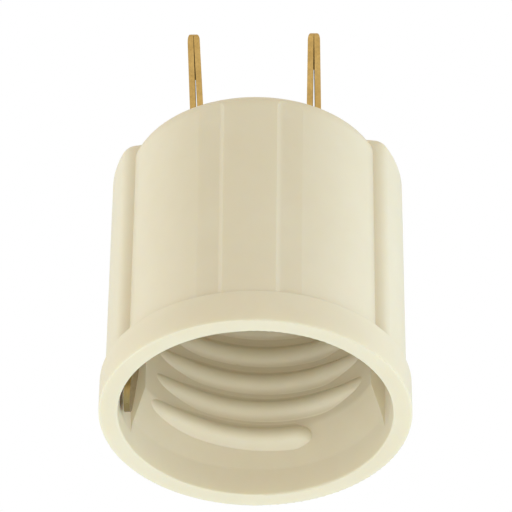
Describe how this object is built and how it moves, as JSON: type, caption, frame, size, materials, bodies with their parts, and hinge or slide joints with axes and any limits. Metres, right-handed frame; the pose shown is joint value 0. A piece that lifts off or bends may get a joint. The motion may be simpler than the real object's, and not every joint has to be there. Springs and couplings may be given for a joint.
{
  "type": "plug-in lamp holder",
  "caption": "Ivory plug-in lamp holder: a lobed moulding with a threaded lamp mouth, folded brass plug blades on the other end, and brass side and centre contacts inside.",
  "frame": {"origin": "centre of the mouth, in the plane of the rim that it stands on", "axes": "+Z from the mouth to the plug face and blades, -X towards the wide neutral blade and the side contact"},
  "size_m": [0.0338, 0.0338, 0.0504],
  "materials": {
    "ivory_plastic": "moulded, satin gloss",
    "contact_brass": "rolled strip, slightly dulled",
    "rivet_brass": "tumbled"
  },
  "bodies": {
    "root": {"body": "ivory_plastic", "neutral_contact": "contact_brass", "hot_contact": "contact_brass", "neutral_rivet": "rivet_brass", "hot_rivet": "rivet_brass"}
  },
  "joints": []
}
